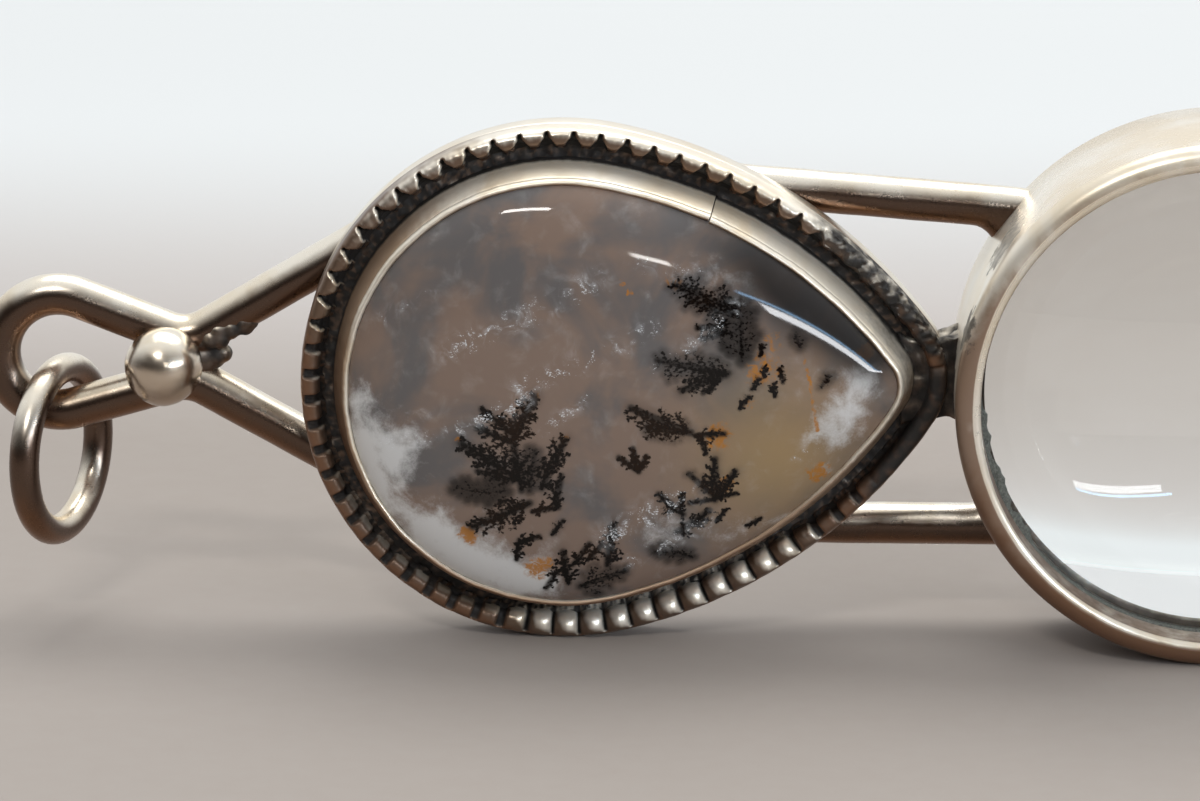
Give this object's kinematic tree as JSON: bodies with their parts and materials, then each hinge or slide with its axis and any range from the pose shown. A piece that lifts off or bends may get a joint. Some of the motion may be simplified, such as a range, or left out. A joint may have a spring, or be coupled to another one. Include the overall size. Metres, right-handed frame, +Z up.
{
  "type": "pendant magnifier",
  "caption": "Silver pendant magnifier: a round lens in a deep band beside a pear-shaped agate in a beaded setting, on a bent wire frame with a loop and a hanging ring.",
  "frame": {"origin": "Under the middle of the whole pendant, on the surface that it stands on, on edge.", "axes": "+X runs along the pendant from the loop to the lens, -Y is the front, where the stone and the lens face, and +Z is up."},
  "size_m": [0.1006, 0.0164, 0.0354],
  "materials": {
    "worn_silver": "oxidised sterling silver, worn bright and satin on the high places",
    "dark_silver": "oxidised sterling silver, dark patina in the channels",
    "agate": "polished translucent dendritic agate",
    "lens_glass": "clear polished glass",
    "lens_putty": "dry grey lens cement"
  },
  "bodies": {
    "pendant": {"frame_wire": "worn_silver", "waist_ball": "worn_silver", "backplate": "dark_silver", "beaded_border": "dark_silver", "stone_bezel": "worn_silver", "agate_cabochon": "agate", "lens_band": "worn_silver", "lens_seat": "dark_silver", "lens": "lens_glass", "lens_cement": "lens_putty"},
    "hanging_ring": {"jump_ring": "worn_silver"}
  },
  "joints": [
    {"name": "jump_ring_swing", "type": "hinge", "parent": "pendant", "child": "hanging_ring", "pos_m": [-0.04492, 0.00209, 0.01425], "axis": [1, 0, 0], "range_deg": [-80, 95]}
  ]
}
